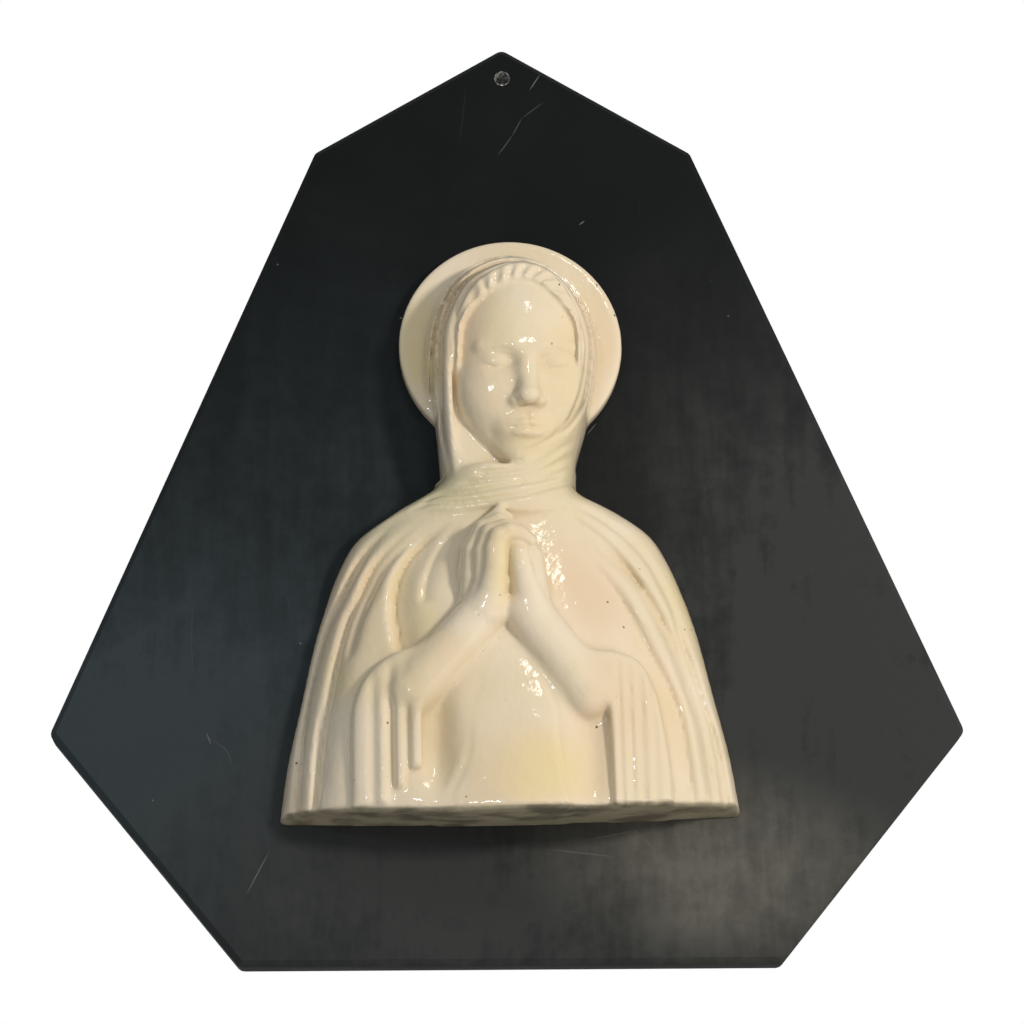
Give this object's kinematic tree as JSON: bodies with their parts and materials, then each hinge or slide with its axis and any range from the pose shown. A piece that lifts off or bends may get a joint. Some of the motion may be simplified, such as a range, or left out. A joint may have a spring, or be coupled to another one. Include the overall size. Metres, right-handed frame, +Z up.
{
  "type": "decorative wall plaque",
  "caption": "Black seven-sided wall board with a glazed cream relief bust of a veiled figure at prayer before a round halo.",
  "frame": {"origin": "centre of the hanging hole, on the wall plane at the board's back", "axes": "+Y into the wall, so the face looks along -Y; +Z up; +X to the viewer's right"},
  "size_m": [0.3988, 0.0689, 0.429],
  "materials": {
    "board": "black satin paint on board, fine scratches and dust",
    "relief": "glossy cream glaze, warmer where it pools"
  },
  "bodies": {
    "root": {"board": "board", "relief": "relief"}
  },
  "joints": []
}
